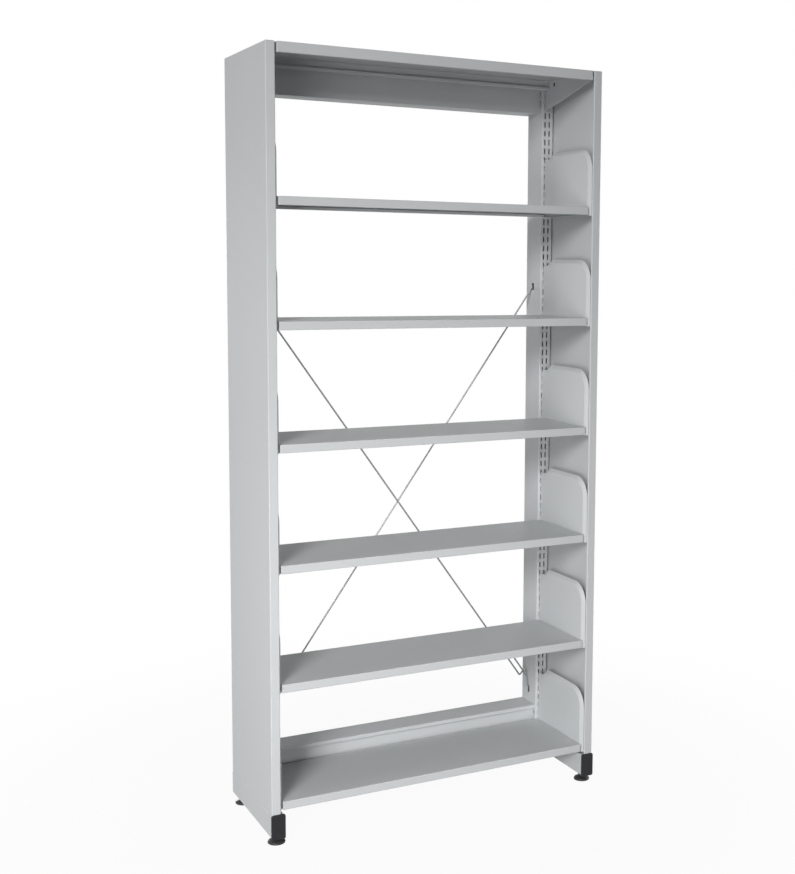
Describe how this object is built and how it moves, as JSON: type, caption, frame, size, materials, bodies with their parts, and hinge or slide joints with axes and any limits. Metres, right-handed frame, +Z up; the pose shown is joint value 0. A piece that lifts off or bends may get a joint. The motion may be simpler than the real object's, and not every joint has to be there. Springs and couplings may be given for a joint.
{
  "type": "single-sided library rack",
  "caption": "Grey steel single-sided library rack: end panels and slotted posts carry lift-off shelves on hooked brackets, with a canopy, crossed brace rods and levelling feet.",
  "frame": {"origin": "on the floor, under the middle of the rack's outer box", "axes": "+X along the shelves to the right as seen from the front, -Y towards the reader, +Z up"},
  "size_m": [0.955, 0.349, 2],
  "materials": {
    "grey_paint": "light grey powder coat, satin",
    "black_plastic": "moulded black plastic",
    "zinc_wire": "bright zinc-plated wire",
    "zinc_screw": "zinc-plated"
  },
  "bodies": {
    "frame": {"end_panel_left": "grey_paint", "end_panel_right": "grey_paint", "post_left": "grey_paint", "post_right": "grey_paint", "post_plug_left": "black_plastic", "post_plug_right": "black_plastic", "base_leg_left": "grey_paint", "base_leg_right": "grey_paint", "leg_cap_front_left": "black_plastic", "leg_cap_front_right": "black_plastic", "leg_plug_rear_left": "black_plastic", "leg_plug_rear_right": "black_plastic", "canopy_gusset_left": "grey_paint", "canopy_gusset_right": "grey_paint", "canopy_screw_left": "zinc_screw", "canopy_screw_right": "zinc_screw", "canopy_nut_left": "zinc_screw", "canopy_nut_right": "zinc_screw", "panel_screw_left_1": "zinc_screw", "panel_screw_left_2": "zinc_screw", "panel_screw_right_1": "zinc_screw", "panel_screw_right_2": "zinc_screw", "foot_nut_front_left": "zinc_screw", "foot_nut_front_right": "zinc_screw", "foot_nut_rear_left": "zinc_screw", "foot_nut_rear_right": "zinc_screw", "canopy": "grey_paint", "top_rail": "grey_paint", "bottom_rail": "grey_paint", "brace_rod_front": "zinc_wire", "brace_rod_rear": "zinc_wire", "brace_link_front": "zinc_wire", "brace_link_rear": "zinc_wire"},
    "brackets_1": {"bracket_left_1": "grey_paint", "bracket_right_1": "grey_paint"},
    "shelf_1": {"shelf_1": "grey_paint"},
    "brackets_2": {"bracket_left_2": "grey_paint", "bracket_right_2": "grey_paint"},
    "shelf_2": {"shelf_2": "grey_paint"},
    "brackets_3": {"bracket_left_3": "grey_paint", "bracket_right_3": "grey_paint"},
    "shelf_3": {"shelf_3": "grey_paint"},
    "brackets_4": {"bracket_left_4": "grey_paint", "bracket_right_4": "grey_paint"},
    "shelf_4": {"shelf_4": "grey_paint"},
    "brackets_5": {"bracket_left_5": "grey_paint", "bracket_right_5": "grey_paint"},
    "shelf_5": {"shelf_5": "grey_paint"},
    "brackets_6": {"bracket_left_6": "grey_paint", "bracket_right_6": "grey_paint"},
    "shelf_6": {"shelf_6": "grey_paint"},
    "foot_pad_front_left": {"foot_pad_front_left": "black_plastic"},
    "foot_stem_front_left": {"foot_stem_front_left": "zinc_screw"},
    "foot_pad_front_right": {"foot_pad_front_right": "black_plastic"},
    "foot_stem_front_right": {"foot_stem_front_right": "zinc_screw"},
    "foot_pad_rear_left": {"foot_pad_rear_left": "black_plastic"},
    "foot_stem_rear_left": {"foot_stem_rear_left": "zinc_screw"},
    "foot_pad_rear_right": {"foot_pad_rear_right": "black_plastic"},
    "foot_stem_rear_right": {"foot_stem_rear_right": "zinc_screw"}
  },
  "joints": [
    {"name": "bracket_lift_1", "type": "slide", "parent": "frame", "child": "brackets_1", "axis": [0, 0, 1], "range_m": [0, 0.0045]},
    {"name": "shelf_lift_1", "type": "slide", "parent": "brackets_1", "child": "shelf_1", "axis": [0, 0, 1], "range_m": [0, 0.19]},
    {"name": "bracket_lift_2", "type": "slide", "parent": "frame", "child": "brackets_2", "axis": [0, 0, 1], "range_m": [0, 0.0045]},
    {"name": "shelf_lift_2", "type": "slide", "parent": "brackets_2", "child": "shelf_2", "axis": [0, 0, 1], "range_m": [0, 0.19]},
    {"name": "bracket_lift_3", "type": "slide", "parent": "frame", "child": "brackets_3", "axis": [0, 0, 1], "range_m": [0, 0.0045]},
    {"name": "shelf_lift_3", "type": "slide", "parent": "brackets_3", "child": "shelf_3", "axis": [0, 0, 1], "range_m": [0, 0.19]},
    {"name": "bracket_lift_4", "type": "slide", "parent": "frame", "child": "brackets_4", "axis": [0, 0, 1], "range_m": [0, 0.0045]},
    {"name": "shelf_lift_4", "type": "slide", "parent": "brackets_4", "child": "shelf_4", "axis": [0, 0, 1], "range_m": [0, 0.19]},
    {"name": "bracket_lift_5", "type": "slide", "parent": "frame", "child": "brackets_5", "axis": [0, 0, 1], "range_m": [0, 0.0045]},
    {"name": "shelf_lift_5", "type": "slide", "parent": "brackets_5", "child": "shelf_5", "axis": [0, 0, 1], "range_m": [0, 0.19]},
    {"name": "bracket_lift_6", "type": "slide", "parent": "frame", "child": "brackets_6", "axis": [0, 0, 1], "range_m": [0, 0.0045]},
    {"name": "shelf_lift_6", "type": "slide", "parent": "brackets_6", "child": "shelf_6", "axis": [0, 0, 1], "range_m": [0, 0.19]},
    {"name": "foot_drop_front_left", "type": "slide", "parent": "frame", "child": "foot_pad_front_left", "axis": [0, 0, -1], "range_m": [0, 0.0121]},
    {"name": "foot_turn_front_left", "type": "hinge", "parent": "foot_pad_front_left", "child": "foot_stem_front_left", "pos_m": [-0.455, -0.14705, 0.03], "axis": [0, 0, -1], "range_deg": [0, 2880]},
    {"name": "foot_drop_front_right", "type": "slide", "parent": "frame", "child": "foot_pad_front_right", "axis": [0, 0, -1], "range_m": [0, 0.0121]},
    {"name": "foot_turn_front_right", "type": "hinge", "parent": "foot_pad_front_right", "child": "foot_stem_front_right", "pos_m": [0.455, -0.14705, 0.03], "axis": [0, 0, -1], "range_deg": [0, 2880]},
    {"name": "foot_drop_rear_left", "type": "slide", "parent": "frame", "child": "foot_pad_rear_left", "axis": [0, 0, -1], "range_m": [0, 0.0121]},
    {"name": "foot_turn_rear_left", "type": "hinge", "parent": "foot_pad_rear_left", "child": "foot_stem_rear_left", "pos_m": [-0.455, 0.13395, 0.03], "axis": [0, 0, -1], "range_deg": [0, 2880]},
    {"name": "foot_drop_rear_right", "type": "slide", "parent": "frame", "child": "foot_pad_rear_right", "axis": [0, 0, -1], "range_m": [0, 0.0121]},
    {"name": "foot_turn_rear_right", "type": "hinge", "parent": "foot_pad_rear_right", "child": "foot_stem_rear_right", "pos_m": [0.455, 0.13395, 0.03], "axis": [0, 0, -1], "range_deg": [0, 2880]}
  ],
  "couplings": [
    {"joint": "foot_drop_front_left", "follows": "foot_turn_front_left", "m_per_rad": 0.00023873},
    {"joint": "foot_drop_front_right", "follows": "foot_turn_front_right", "m_per_rad": 0.00023873},
    {"joint": "foot_drop_rear_left", "follows": "foot_turn_rear_left", "m_per_rad": 0.00023873},
    {"joint": "foot_drop_rear_right", "follows": "foot_turn_rear_right", "m_per_rad": 0.00023873}
  ]
}
